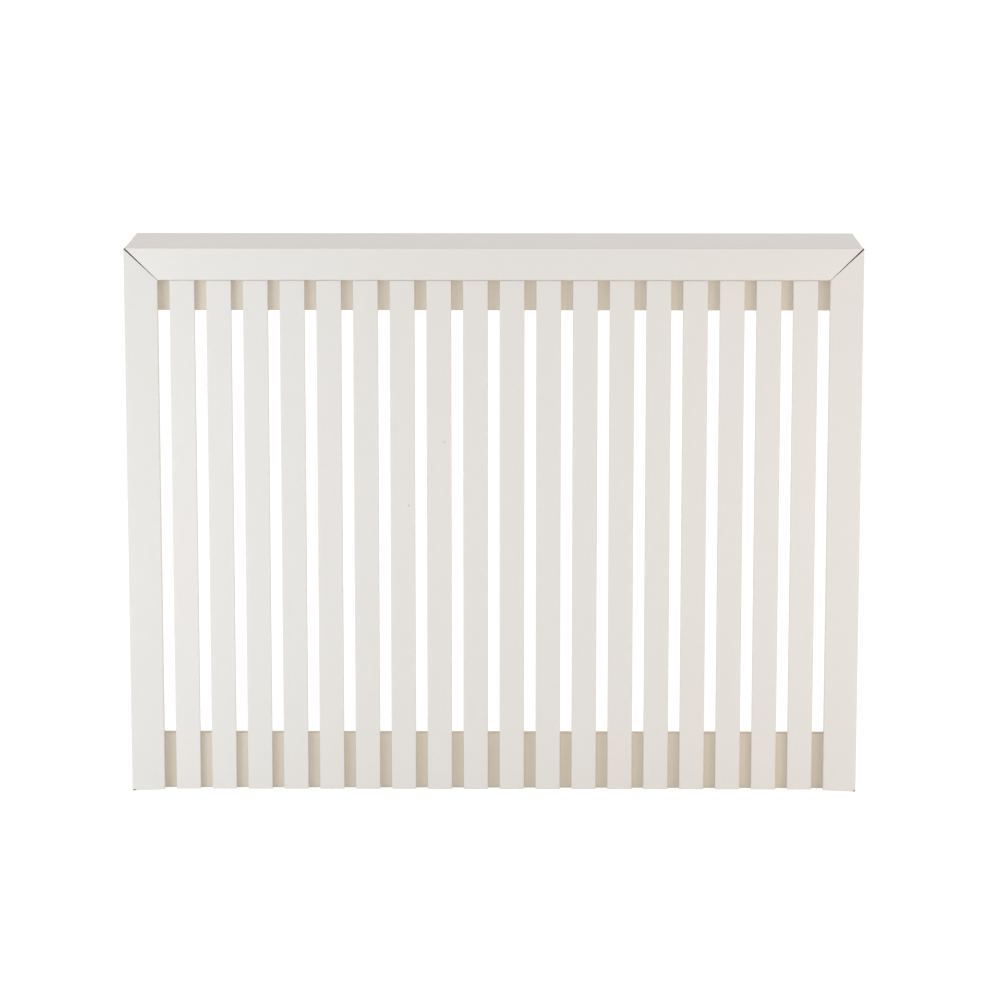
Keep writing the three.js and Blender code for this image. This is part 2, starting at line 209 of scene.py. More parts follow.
class CoverStage(bpy.types.PropertyGroup):
    """Camera, lamps and floor."""

    camera_side: FloatProperty(name="Camera side", description="Camera's place to the right of the middle",
                               default=0.04, subtype="DISTANCE", unit="LENGTH")
    camera_distance: length("Camera distance", "From the camera to the cabinet's front plane", 6.0)
    camera_height: length("Camera height", "Camera's height above the floor", 1.57)
    aim_side: FloatProperty(name="Aim side", description="Where the camera looks, right of the middle",
                            default=0.002, subtype="DISTANCE", unit="LENGTH")
    aim_height: length("Aim height", "Height on the front plane that the camera looks at", 0.469)
    lens: FloatProperty(name="Lens", description="Focal length on a 36 mm wide sensor, in mm",
                        default=144.4, min=1)
    left_power: amount("Left power", "Strength of the left softbox, in watts", 9.6)
    right_power: amount("Right power", "Strength of the right softbox, in watts", 6.0)
    left_colour: colour("Left colour", "Colour of the left softbox", 0xE3F2FF)
    right_colour: colour("Right colour", "Colour of the right softbox", 0xFFF7EC)
    box_side: length("Softbox side", "From the middle to each softbox", 1.5)
    box_distance: length("Softbox distance", "From the front plane to each softbox", 1.0)
    box_height: length("Softbox height", "Height of each softbox's middle", 0.45)
    box_width: length("Softbox width", "Width of each softbox", 0.8)
    box_tall: length("Softbox tall", "Height of each softbox's panel", 0.8)
    ambient: amount("Ambient", "Strength of the light from all round", 0.72)
    ambient_colour: colour("Ambient colour", "Colour of the light from all round", 0xFFFFFF)
    floor: share("Floor", "How pale the floor is to the light that it throws back", 0.92)
    floor_shade: share("Floor shade", "How strongly the floor shows the cabinet's shadow", 0.4)
    floor_glow: share("Floor glow", "Light that the camera sees from the floor besides its shading", 0.78)
    floor_size: length("Floor size", "Side of the floor", 60)


# ---------------- selecting and shaping

def pick(*pieces):
    """Selects only these objects, the first of them active."""
    bpy.ops.object.select_all(action="DESELECT")
    for piece in pieces:
        piece.select_set(True)
    bpy.context.view_layer.objects.active = pieces[0]


def edit(piece):
    """Enters edit mode on one piece."""
    pick(piece)
    bpy.ops.object.mode_set(mode="EDIT")
    bpy.ops.mesh.select_all(action="SELECT")


def leave():
    """Goes back to object mode."""
    bpy.ops.object.mode_set(mode="OBJECT")


def middle(part):
    """The middle of a vertex, an edge or a face."""
    if isinstance(part, bmesh.types.BMVert):
        return part.co
    if isinstance(part, bmesh.types.BMEdge):
        return (part.verts[0].co + part.verts[1].co) / 2
    return part.calc_center_median()


def select(piece, kind, test):
    """In edit mode, selects the VERT, EDGE or FACE parts whose middle passes a test."""
    bpy.ops.mesh.select_mode(type=kind)
    bpy.ops.mesh.select_all(action="DESELECT")
    shape = bmesh.from_edit_mesh(piece.data)
    for part in {"VERT": shape.verts, "EDGE": shape.edges, "FACE": shape.faces}[kind]:
        if test(middle(part)):
            part.select_set(True)
    shape.select_flush_mode()
    bmesh.update_edit_mesh(piece.data)


def near(a, b):
    """Whether two lengths are the same place."""
    return abs(a - b) < NEAR


def coat(piece, finish):
    """Gives a piece one finish all over."""
    piece.data.materials.clear()
    piece.data.materials.append(finish)


def block(name, low, high, finish):
    """A box between two corners, ready to be shaped."""
    bpy.ops.object.select_all(action="DESELECT")
    bpy.ops.mesh.primitive_cube_add(size=1, location=(low + high) / 2, scale=high - low)
    bpy.ops.object.transform_apply()
    piece = bpy.context.active_object
    piece.name = name
    coat(piece, finish)
    return piece


def ease(piece, radius, test=lambda place: True):
    """Rounds the edges whose middle passes a test, and marks the rounding as arris for the paint."""
    flats = [face.normal.copy() for face in piece.data.polygons]
    edit(piece)
    select(piece, "EDGE", test)
    bpy.ops.mesh.bevel(offset=radius, segments=ARRIS_STEPS, profile=0.5, affect="EDGES")
    leave()
    mesh = piece.data
    arris = mesh.attributes.new("arris", "FLOAT", "FACE")
    for face in mesh.polygons:
        arris.data[face.index].value = all(face.normal.dot(flat) < SAME_WAY for flat in flats)


def turned(name, profile, finish, sides=ROUND_SIDES):
    """A round piece along +Z, closed at both ends, from its profile of radii and heights."""
    radius, height = profile[0]
    bpy.ops.object.select_all(action="DESELECT")
    bpy.ops.mesh.primitive_circle_add(
        vertices=sides, radius=radius, fill_type="NGON", location=(0, 0, height))
    bpy.ops.object.transform_apply()
    piece = bpy.context.active_object
    piece.name = name
    coat(piece, finish)
    edit(piece)
    for next_radius, next_height in profile[1:]:
        rise = (0, 0, next_height - height)
        bpy.ops.mesh.extrude_region_move(TRANSFORM_OT_translate={"value": rise})
        ratio = next_radius / radius
        bpy.ops.transform.resize(value=(ratio, ratio, 1))
        radius, height = next_radius, next_height
    bpy.ops.mesh.select_all(action="SELECT")
    bpy.ops.mesh.normals_make_consistent(inside=False)
    leave()
    return piece


def aim(piece, at, direction):
    """Turns a piece that points along +Z to a direction and moves it to its place."""
    pick(piece)
    piece.rotation_mode = "QUATERNION"
    piece.rotation_quaternion = UP.rotation_difference(direction)
    piece.location = at
    bpy.ops.object.transform_apply()
    return piece


def copy_of(piece, name, shift=(0, 0, 0)):
    """A copy with its own mesh, moved by a vector."""
    copy = bpy.data.objects.new(name, piece.data.copy())
    bpy.context.scene.collection.objects.link(copy)
    copy.data.transform(Matrix.Translation(shift))
    return copy


def joined(pieces):
    """Several shapes as one."""
    pick(*pieces)
    if len(pieces) > 1:
        bpy.ops.object.join()
    return pieces[0]


def cut(piece, cutter):
    """Takes a closed shape out of a piece. The new faces keep the cutter's finish."""
    pick(piece)
    taken = piece.modifiers.new("taken", "BOOLEAN")
    taken.object = cutter
    taken.solver = "EXACT"
    taken.material_mode = "TRANSFER"
    bpy.ops.object.modifier_apply(modifier=taken.name)
    bpy.data.objects.remove(cutter)


def room_for(nodes, margin, finish):
    """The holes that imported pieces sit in: their own shapes, a margin fatter."""
    shapes = []
    for node in nodes:
        shape = bpy.data.objects.new("room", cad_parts[node].data.copy())
        bpy.context.scene.collection.objects.link(shape)
        coat(shape, finish)
        shapes.append(shape)
    cutter = joined(shapes)
    edit(cutter)
    bpy.ops.mesh.remove_doubles(threshold=NEAR)
    bpy.ops.transform.shrink_fatten(value=margin, use_even_offset=True)
    leave()
    return cutter


def done(piece, slot, *nodes):
    """Shades a finished piece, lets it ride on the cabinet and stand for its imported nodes."""
    pick(piece)
    bpy.ops.object.shade_smooth_by_angle(angle=SMOOTH_ANGLE)
    weighted = piece.modifiers.new("weighted", "WEIGHTED_NORMAL")
    weighted.keep_sharp = True
    bpy.ops.object.modifier_apply(modifier=weighted.name)
    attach(piece, BODY)
    if nodes:
        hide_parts(*nodes)
    return piece


# ---------------- shader nodes

def feed(tree, socket, value):
    """Gives an input socket a plain value, or a link from another node's socket."""
    if isinstance(value, bpy.types.NodeSocket):
        tree.links.new(value, socket)
    else:
        socket.default_value = value


def add_node(tree, kind, inputs=None, **settings):
    """Adds a shader node with its settings and what feeds its inputs."""
    node = tree.nodes.new("ShaderNode" + kind)
    for key, value in settings.items():
        setattr(node, key, value)
    for key, value in (inputs or {}).items():
        feed(tree, node.inputs[key], value)
    return node


def maths(tree, operation, *values, clamp=False):
    """The result of a math node."""
    return add_node(tree, "Math", dict(enumerate(values)), operation=operation, use_clamp=clamp).outputs[0]


def blend(tree, factor, first, second):
    """Two colours mixed by a factor. A Mix node's sockets for colours are inputs 6 and 7 and output 2."""
    mix = add_node(tree, "Mix", data_type="RGBA")
    feed(tree, mix.inputs[0], factor)
    feed(tree, mix.inputs[6], first)
    feed(tree, mix.inputs[7], second)
    return mix.outputs[2]


def noise(tree, place, scale, detail=2.0, roughness=0.5):
    """A noise pattern's value at a place."""
    inputs = {"Vector": place, "Scale": scale, "Detail": detail, "Roughness": roughness}
    return add_node(tree, "TexNoise", inputs).outputs[0]


def object_place(tree):
    """The place of a surface point in the cabinet's own frame."""
    return add_node(tree, "TexCoord").outputs["Object"]


def group(name, inputs, outputs):
    """An empty shader group with named sockets, and its input and output nodes."""
    tree = bpy.data.node_groups.new(name, "ShaderNodeTree")
    for label, kind, default in inputs:
        socket = tree.interface.new_socket(label, in_out="INPUT", socket_type="NodeSocket" + kind)
        socket.default_value = default
    for label, kind in outputs:
        tree.interface.new_socket(label, in_out="OUTPUT", socket_type="NodeSocket" + kind)
    given = tree.nodes.new("NodeGroupInput").outputs
    made = tree.nodes.new("NodeGroupOutput").inputs
    return tree, given, made


def once(make):
    """Builds a group or material the first time that it is asked for."""
    kept = {}

    def get(*arguments):
        if arguments not in kept:
            kept[arguments] = make(*arguments)
        return kept[arguments]
    return get


def rgba(value):
    """A colour property with full cover."""
    return (*value, 1)


def use_group(tree, group_tree, inputs):
    """Places a group in a material with that material's own values."""
    node = tree.nodes.new("ShaderNodeGroup")
    node.node_tree = group_tree
    for key, value in inputs.items():
        feed(tree, node.inputs[key], value)
    return node.outputs


@once
def painted_group():
    """Sprayed paint: a faint peel, clouds of tone, and a thinner, warmer coat over the arrises."""
    tree, given, made = group(
        "Sprayed Paint",
        [("Colour", "Color", WHITE), ("Thin Colour", "Color", WHITE), ("Arris", "Float", 0),
         ("Peel Size", "Float", SATIN_PEEL), ("Gloss", "Float", SATIN_GLOSS)],
        [("Colour", "Color"), ("Roughness", "Float"), ("Height", "Float")],
    )
    place = object_place(tree)
    peel = noise(tree, place, maths(tree, "DIVIDE", 1, given["Peel Size"]), detail=3, roughness=0.45)
    cloud = noise(tree, place, scale=2.6, detail=3, roughness=0.6)
    rubbed = noise(tree, place, scale=55, detail=4, roughness=0.65)
    patchy = maths(tree, "MULTIPLY_ADD", rubbed, 0.9, 0.1, clamp=True)
    cover = maths(tree, "MULTIPLY", given["Arris"], patchy)
    toned = blend(tree, maths(tree, "MULTIPLY", cloud, 0.05), given["Colour"], CLOUD_TONE)
    tree.links.new(blend(tree, cover, toned, given["Thin Colour"]), made["Colour"])
    matt = maths(tree, "MULTIPLY_ADD", cloud, 0.12, maths(tree, "SUBTRACT", given["Gloss"], 0.06))
    tree.links.new(maths(tree, "MULTIPLY_ADD", cover, 0.15, matt), made["Roughness"])
    tree.links.new(peel, made["Height"])
    return tree


@once
def speck_group():
    """A soft round speck: 1 at its place, 0 past its radius."""
    tree, given, made = group(
        "Dust Nib",
        [("Place", "Vector", (0, 0, 0)), ("Radius", "Float", 0.001)],
        [("Mask", "Float")],
    )
    away = add_node(tree, "VectorMath", {0: object_place(tree), 1: given["Place"]}, operation="DISTANCE")
    rough_edge = noise(tree, object_place(tree), scale=1400, detail=2)
    wavy = maths(tree, "MULTIPLY", away.outputs["Value"], maths(tree, "ADD", rough_edge, 0.5))
    falls = maths(tree, "DIVIDE", wavy, given["Radius"])
    tree.links.new(maths(tree, "SUBTRACT", 1, falls, clamp=True), made["Mask"])
    return tree


@once
def wood_group():
    """Straight-grained wood along the given place's Z: rings, fibres and pores."""
    tree, given, made = group(
        "Sawn Wood",
        [("Place", "Vector", (0, 0, 0)), ("Pale", "Color", WHITE), ("Ring", "Color", WHITE),
         ("Ring Scale", "Float", PINE_RINGS), ("Waviness", "Float", PINE_WAVES),
         ("Fibre Scale", "Float", 1500)],
        [("Colour", "Color"), ("Roughness", "Float"), ("Height", "Float")],
    )

    def drawn_out(share):
        """The place shrunk along the grain, so that a pattern there is drawn out."""
        inputs = {0: given["Place"], 1: (1, 1, share)}
        return add_node(tree, "VectorMath", inputs, operation="MULTIPLY").outputs[0]

    wave = {"Vector": drawn_out(0.06), "Scale": given["Ring Scale"], "Distortion": given["Waviness"],
            "Detail": 2, "Detail Scale": 1.2}
    rings = add_node(tree, "TexWave", wave, wave_type="RINGS", rings_direction="Z", wave_profile="SAW")
    late = maths(tree, "POWER", rings.outputs["Fac"], 2.2)
    fibres = noise(tree, drawn_out(0.03), given["Fibre Scale"], detail=3, roughness=0.6)
    grain = maths(tree, "MULTIPLY_ADD", fibres, 0.5, maths(tree, "MULTIPLY", late, 0.6), clamp=True)
    tree.links.new(blend(tree, grain, given["Pale"], given["Ring"]), made["Colour"])
    tree.links.new(maths(tree, "MULTIPLY_ADD", fibres, 0.2, 0.55), made["Roughness"])
    tree.links.new(maths(tree, "MULTIPLY_ADD", late, 0.4, fibres), made["Height"])
    return tree


@once
def plated_group():
    """Zinc plate: soft patches of bloom and fine rubbing."""
    tree, given, made = group(
        "Zinc Plate",
        [("Colour", "Color", WHITE), ("Patch Scale", "Float", 220), ("Gloss", "Float", 0.3)],
        [("Colour", "Color"), ("Roughness", "Float"), ("Height", "Float")],
    )
    place = object_place(tree)
    patches = add_node(tree, "TexVoronoi", {"Vector": place, "Scale": given["Patch Scale"]}).outputs["Color"]
    patch = add_node(tree, "SeparateColor", {0: patches}).outputs[0]
    bloom = noise(tree, place, scale=90, detail=4, roughness=0.6)
    dulled = blend(tree, maths(tree, "MULTIPLY", patch, 0.35), given["Colour"], BLOOM_TONE)
    tree.links.new(dulled, made["Colour"])
    matt = maths(tree, "MULTIPLY_ADD", bloom, 0.25, given["Gloss"])
    tree.links.new(maths(tree, "MULTIPLY_ADD", patch, 0.08, matt), made["Roughness"])
    tree.links.new(bloom, made["Height"])
    return tree


# ---------------- finishes

def finish_from(name, outputs_of, bump_depth, metallic=0.0):
    """A material whose colour, roughness and height come from one shader group."""
    material = bpy.data.materials.new(name)
    material.use_nodes = True
    tree = material.node_tree
    surface = tree.nodes["Principled BSDF"]
    made = outputs_of(tree)
    tree.links.new(made["Colour"], surface.inputs["Base Color"])
    tree.links.new(made["Roughness"], surface.inputs["Roughness"])
    bump = add_node(tree, "Bump", {"Height": made["Height"], "Strength": 1.0, "Distance": bump_depth})
    tree.links.new(bump.outputs[0], surface.inputs["Normal"])
    surface.inputs["Metallic"].default_value = metallic
    return material


def paint_of(tree, paint, thin, peel_size, gloss):
    """The paint group with one coat's values."""
    arris = add_node(tree, "Attribute", attribute_name="arris").outputs["Fac"]
    return use_group(tree, painted_group(), {
        "Colour": rgba(paint), "Thin Colour": rgba(thin), "Arris": arris,
        "Peel Size": peel_size, "Gloss": gloss,
    })


def colours():
    """The colours that the panel shows."""
    return bpy.context.scene.cover_colours


def satin(name):
    """Off-white satin paint."""
    return finish_from(
        name,
        lambda tree: paint_of(tree, colours().paint, colours().thin_paint, SATIN_PEEL, SATIN_GLOSS),
        bump_depth=0.00003,
    )


@once
def satin_paint():
    """The satin paint on the boards and the frame."""
    return satin("sprayed_satin")


@once
def slat_paint():
    """The same paint on the slats, with two nibs of dust caught in it."""
    material = satin("sprayed_slats")
    tree = material.node_tree
    surface = tree.nodes["Principled BSDF"]
    painted = surface.inputs["Base Color"].links[0].from_socket
    for nib in NIBS:
        low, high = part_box(f"slat_{nib.slat}")
        place = Vector((high.x - nib.inset, low.y, nib.height))
        mask = use_group(tree, speck_group(), {"Place": place, "Radius": nib.radius})["Mask"]
        painted = blend(tree, maths(tree, "MULTIPLY", mask, nib.depth), painted, rgba(colours().speck))
    tree.links.new(painted, surface.inputs["Base Color"])
    return material


@once
def rail_paint():
    """Warmer, flatter paint on the rails. Its warmer, darker colour is partly the rails' own paint and
    partly painted shade of the recess behind the slats.
    """
    return finish_from(
        "rail_paint_and_painted_shade",
        lambda tree: paint_of(
            tree, colours().rail_paint, colours().rail_thin_paint_and_shade, peel_size=0.0018, gloss=0.5),
        bump_depth=0.00004,
    )


def wood(name, place_of, pale, ring, ring_scale, waviness):
    """A wood finish whose grain runs along the mapped place's Z."""
    return finish_from(
        name,
        lambda tree: use_group(tree, wood_group(), {
            "Place": place_of(tree), "Pale": rgba(pale), "Ring": rgba(ring),
            "Ring Scale": ring_scale, "Waviness": waviness,
        }),
        bump_depth=0.00006,
    )


def mapped(turn, pith):
    """The object's place turned so that the grain lies along Z, with the tree's heart at the pith."""
    def place(tree):
        return add_node(tree, "Mapping", {"Vector": object_place(tree), "Rotation": turn, "Location": pith},
                        vector_type="POINT").outputs[0]
    return place


@once
def pine_upright():
    """Pine with its grain upright, on the corner blocks."""
    return wood("pine_upright", mapped((0, 0, 0), (0.045, 0.02, 0)), colours().pine,
                colours().pine_ring, PINE_RINGS, PINE_WAVES)


@once
def pine_deep():
    """Pine with its grain from front to back, on the top battens."""
    return wood("pine_deep", mapped((math.pi / 2, 0, 0), (0.04, 0.03, 0)), colours().pine,
                colours().pine_ring, PINE_RINGS, PINE_WAVES)


@once
def beech():
    """Beech with its grain from front to back, on the dowels."""
    return wood("beech_dowels", mapped((math.pi / 2, 0, 0), (0.02, 0.01, 0)), colours().beech,
                colours().beech_ring, ring_scale=160, waviness=1.0)


@once
def birch_ply():
    """Plies stacked from front to back, on the mitre tongues."""
    return wood("birch_plies", mapped((0, 0, math.pi / 2), (0, 0, 0)), colours().birch,
                colours().birch_ring, ring_scale=200, waviness=0.4)


@once
def raw_fibreboard():
    """Bare brown board where it is sawn, drilled or chipped."""
    def fibres(tree):
        place = object_place(tree)
        fibre = noise(tree, place, scale=2600, detail=4, roughness=0.7)
        cloud = noise(tree, place, scale=160, detail=3, roughness=0.6)
        mixed = maths(tree, "MULTIPLY_ADD", fibre, 0.7, maths(tree, "MULTIPLY", cloud, 0.3), clamp=True)
        return {
            "Colour": blend(tree, mixed, rgba(colours().fibreboard_dark), rgba(colours().fibreboard)),
            "Roughness": maths(tree, "MULTIPLY_ADD", fibre, 0.15, 0.8),
            "Height": fibre,
        }
    return finish_from("raw_fibreboard", fibres, bump_depth=0.0001)


def plated(name, tone, patch_scale, gloss):
    """A zinc-plated steel."""
    return finish_from(
        name,
        lambda tree: use_group(tree, plated_group(), {
            "Colour": rgba(tone), "Patch Scale": patch_scale, "Gloss": gloss,
        }),
        bump_depth=0.00001,
        metallic=1.0,
    )


@once
def zinc_steel():
    """Bright zinc on the steel angles."""
    return plated("bright_zinc", colours().zinc, patch_scale=260, gloss=0.25)


@once
def screw_steel():
    """Zinc on the screws and pins."""
    return plated("screw_zinc", colours().screw_zinc, patch_scale=700, gloss=0.22)


# ---------------- places that more than one piece needs

def pin_heights():
    """Heights of the pins through the lower and the upper rail."""
    low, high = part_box("lower_rail")
    upper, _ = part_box("upper_rail")
    _, slat_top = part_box("slat_01")
    return (low.z + high.z) / 2, (upper.z + slat_top.z) / 2


def pin(name, sizes, at, margin=0.0):
    """One pin, from its head on the back of a rail forwards into a slat. Its hole is a margin fatter."""
    radius, head = sizes.pin_radius + margin, sizes.pin_head_radius + margin
    piece = turned(name, [
        (head * 0.8, -PIN_CROWN - margin), (head, -PIN_CHAMFER), (head, PIN_CROWN), (radius, PIN_NECK),
        (radius, sizes.pin_length - PIN_POINT), (radius * 0.15, sizes.pin_length + margin),
    ], screw_steel(), FINE_SIDES)
    return aim(piece, at, FORWARD)


def pin_place(slat, height):
    """Where a slat's pin enters the back of its rail."""
    low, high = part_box(f"slat_{slat}")
    _, rail_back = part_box("lower_rail")
    return Vector(((low.x + high.x) / 2, rail_back.y, height))


def pin_holes(sizes, places):
    """The holes that the pins at some places leave, as one shape."""
    first = pin("hole", sizes, places[0], sizes.fit)
    coat(first, raw_fibreboard())
    return joined([first] + [copy_of(first, "hole", place - places[0]) for place in places[1:]])


def screw_place(node, direction):
    """The middle of a packed screw's head face, from its box and the way that it points."""
    low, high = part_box(node)
    centre = (low + high) / 2
    half = (high - low) / 2
    return centre - Vector([half[i] * direction[i] for i in range(3)])


def screw_profile(margin=0.0):
    """A countersunk wood screw from its head's face down to its tip. Its hole is a margin fatter."""
    head, shank, core = HEAD_RADIUS + margin, SHANK_RADIUS + margin, CORE_RADIUS + margin
    return [
        (head - 0.0003, -margin), (head, 0.0002), (head, 0.0005), (shank + 0.0002, 0.0026),
        (shank, 0.004), (shank, 0.0115), (core, 0.012), (core, 0.0243),
        (TIP_RADIUS + margin, 0.0283 + margin),
    ]


def cross_recess(head, sizes, face):
    """Cuts the driver's cross in a screw's head, whose face looks down -Z."""
    half, slot = sizes.recess_width / 2, sizes.recess_slot / 2
    for across, along in ((half, slot), (slot, half)):
        low = Vector((-across, -along, face - sizes.recess_depth))
        high = Vector((across, along, face + sizes.recess_depth))
        arm = block("recess", low, high, screw_steel())
        edit(arm)
        select(arm, "FACE", lambda place: near(place.z, high.z))
        bpy.ops.transform.resize(value=(RECESS_TAPER, RECESS_TAPER, 1))
        leave()
        cut(head, arm)
    return head


# ---------------- operators

class CoverStageBuild(bpy.types.Operator):
    """Build the camera, the two softboxes, the light from all round and the pale floor"""

    bl_idname = "radiator_cover.stage"
    bl_label = "Stage"
    bl_options = {"REGISTER", "UNDO"}

    def execute(self, context):
        stage = context.scene.cover_stage
        front = CAD_BOX[0].y
        self.camera(context, stage, front)
        for side, hand in SIDES:
            self.softbox(context, stage, side, hand, front)
        self.world(context, stage)
        self.floor(stage)
        context.scene.view_settings.view_transform = "Standard"
        return {"FINISHED"}

    def put(self, context, data, at, target):
        """Puts a camera or a lamp at a place and turns it to a target."""
        holder = bpy.data.objects.new(data.name, data)
        context.scene.collection.objects.link(holder)
        holder.location = at
        holder.rotation_euler = (target - holder.location).to_track_quat("-Z", "Y").to_euler()
        return holder

    def camera(self, context, stage, front):
        """The photograph's view, from the front and a little above."""
        camera = bpy.data.cameras.new("camera")
        camera.lens = stage.lens
        at = (stage.camera_side, front - stage.camera_distance, stage.camera_height)
        target = Vector((stage.aim_side, front, stage.aim_height))
        context.scene.camera = self.put(context, camera, at, target)

    def softbox(self, context, stage, side, hand, front):
        """One softbox, aimed at the cabinet's middle."""
        lamp = bpy.data.lights.new(f"softbox_{side}", "AREA")
        lamp.shape = "RECTANGLE"
        lamp.size = stage.box_width
        lamp.size_y = stage.box_tall
        lamp.energy = stage.left_power if hand < 0 else stage.right_power
        lamp.color = stage.left_colour if hand < 0 else stage.right_colour
        at = (hand * stage.box_side, front - stage.box_distance, stage.box_height)
        self.put(context, lamp, at, Vector((0, 0, CAD_BOX[1].z / 2)))

    def seen(self, tree):
        """1 for rays that show the background: from the camera, or in gloss or glass."""
        path = add_node(tree, "LightPath").outputs
        gloss = maths(tree, "MAXIMUM", path["Is Glossy Ray"], path["Is Transmission Ray"])
        return maths(tree, "MAXIMUM", path["Is Camera Ray"], gloss)

    def world(self, context, stage):
        """Even light from all round, which shows as white."""
        world = bpy.data.worlds.new("studio")
        world.use_nodes = True
        tree = world.node_tree
        white = add_node(tree, "Background", {"Color": WHITE, "Strength": 1.0})
        tone = rgba(stage.ambient_colour)
        light = add_node(tree, "Background", {"Color": tone, "Strength": stage.ambient})
        mixed = add_node(tree, "MixShader", {0: self.seen(tree), 1: light.outputs[0], 2: white.outputs[0]})
        tree.links.new(mixed.outputs[0], tree.nodes["World Output"].inputs["Surface"])
        context.scene.world = world

    def floor(self, stage):
        """A pale floor that shows as white and keeps the cabinet's shadow."""
        bpy.ops.object.select_all(action="DESELECT")
        bpy.ops.mesh.primitive_plane_add(size=stage.floor_size, location=(0, 0, CAD_BOX[0].z - FLOOR_DROP))
        floor = bpy.context.active_object
        floor.name = "floor"
        material = bpy.data.materials.new("pale_floor")
        material.use_nodes = True
        tree = material.node_tree
        seen = self.seen(tree)
        pale, shade = (stage.floor,) * 3, (stage.floor_shade,) * 3
        shown = blend(tree, seen, rgba(pale), rgba(shade))
        diffuse = add_node(tree, "BsdfDiffuse", {"Color": shown})
        glow = add_node(tree, "Emission", {"Strength": maths(tree, "MULTIPLY", seen, stage.floor_glow)})
        both = add_node(tree, "AddShader", {0: diffuse.outputs[0], 1: glow.outputs[0]})
        tree.links.new(both.outputs[0], tree.nodes["Material Output"].inputs["Surface"])
        floor.data.materials.append(material)


class CoverBoards(bpy.types.Operator):
    """Model the top board and the two side boards, drilled for their dowels and screws"""

    bl_idname = "radiator_cover.boards"
    bl_label = "Top and side boards"
    bl_options = {"REGISTER", "UNDO"}

    def execute(self, context):
        sizes = context.scene.cover_sizes
        self.top(sizes)
        for side, _ in SIDES:
            self.side(sizes, side)
        return {"FINISHED"}

    def top(self, sizes):
        """The top board, over the side boards and flush to the fascia."""
        low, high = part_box("top_panel")
        low.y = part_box("fascia")[1].y  # filled and painted flush to the fascia
        piece = block("top_board", low, high, satin_paint())
        ease(piece, sizes.board_arris, lambda place: not near(place.y, low.y) and (
            near(place.z, high.z) or near(place.y, high.y)))
        cut(piece, room_for(
            [f"fascia_dowel_{number}" for number in range(1, 5)]
            + [f"top_batten_screw_up_{side}" for side, _ in SIDES]
            + [f"wall_bracket_screw_{side}_{number}" for side, _ in SIDES for number in (1, 2)],
            sizes.fit, raw_fibreboard()))
        done(piece, "satin_paint", "top_panel")

    def side(self, sizes, side):
        """One side board, from the floor to the top board."""
        low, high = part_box(f"side_panel_{side}")
        piece = block(f"side_board_{side}", low, high, satin_paint())
        ease(piece, sizes.board_arris, lambda place: not near(place.y, low.y) and not near(place.z, high.z))
        cut(piece, room_for(
            [f"stile_dowel_{side}_{number}" for number in range(1, 4)]
            + [f"{name}_screw_{side}" for name in ("upper_rail_block", "lower_rail_block")]
            + [f"top_batten_screw_side_{side}"],
            sizes.fit, raw_fibreboard()))
        done(piece, "satin_paint", f"side_panel_{side}")


